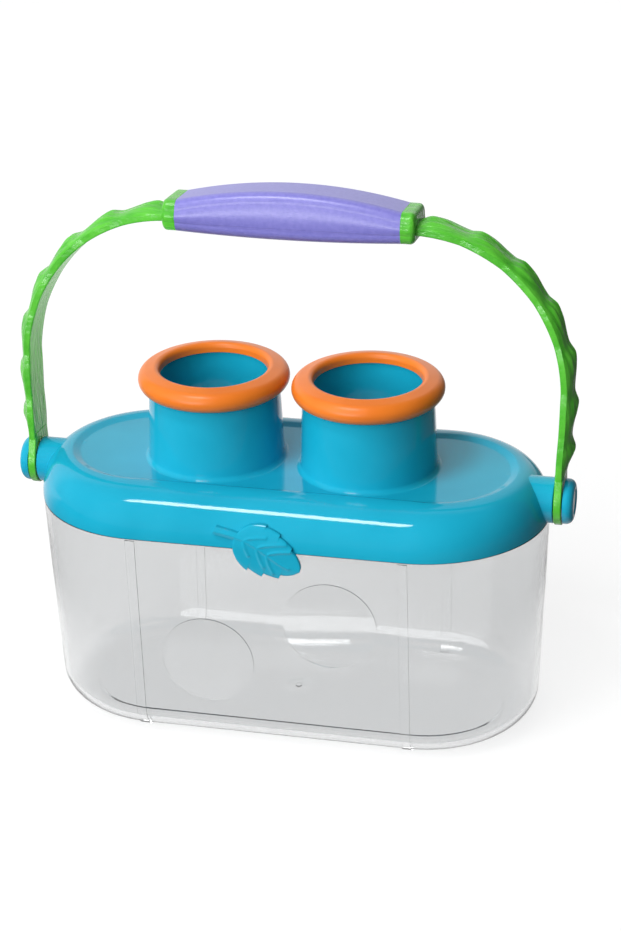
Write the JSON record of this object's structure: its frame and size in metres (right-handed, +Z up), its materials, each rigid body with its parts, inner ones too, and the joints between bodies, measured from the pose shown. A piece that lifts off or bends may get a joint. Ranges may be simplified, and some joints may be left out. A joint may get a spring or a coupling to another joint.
{
  "type": "bug viewer",
  "caption": "Clear oval tub for looking at small creatures, with a lift-off lid carrying magnifying eyepieces with soft rims, and a leafy carry handle that swings.",
  "frame": {"origin": "centre of the tub's flat underside", "axes": "+X along the length of the box to the right seen from the front, -Y towards the front with the leaf, +Z up"},
  "size_m": [0.2082, 0.0924, 0.1991],
  "materials": {
    "clear_plastic": "clear glossy",
    "lens_plastic": "clear polished",
    "turquoise_plastic": "glossy",
    "orange_rubber": "satin",
    "green_plastic": "satin",
    "purple_plastic": "fine grained satin",
    "screw_steel": "satin"
  },
  "bodies": {
    "tub": {"tub": "clear_plastic"},
    "lid": {"lid": "turquoise_plastic", "eyecup_left": "orange_rubber", "eyecup_right": "orange_rubber", "lens_left": "lens_plastic", "lens_right": "lens_plastic", "lens_ring_left": "turquoise_plastic", "lens_ring_right": "turquoise_plastic", "pivot_pin_left": "turquoise_plastic", "pivot_pin_right": "turquoise_plastic"},
    "handle": {"handle": "green_plastic", "grip_upper": "purple_plastic", "grip_lower": "purple_plastic", "grip_screw_left": "screw_steel", "grip_screw_right": "screw_steel"}
  },
  "joints": [
    {"name": "lid_lift", "type": "slide", "parent": "tub", "child": "lid", "axis": [0, 0, 1], "range_m": [0, 0.1]},
    {"name": "handle_swing", "type": "hinge", "parent": "lid", "child": "handle", "pos_m": [0, 0, 0.0895], "axis": [1, 0, 0], "range_deg": [-131, 143]}
  ]
}
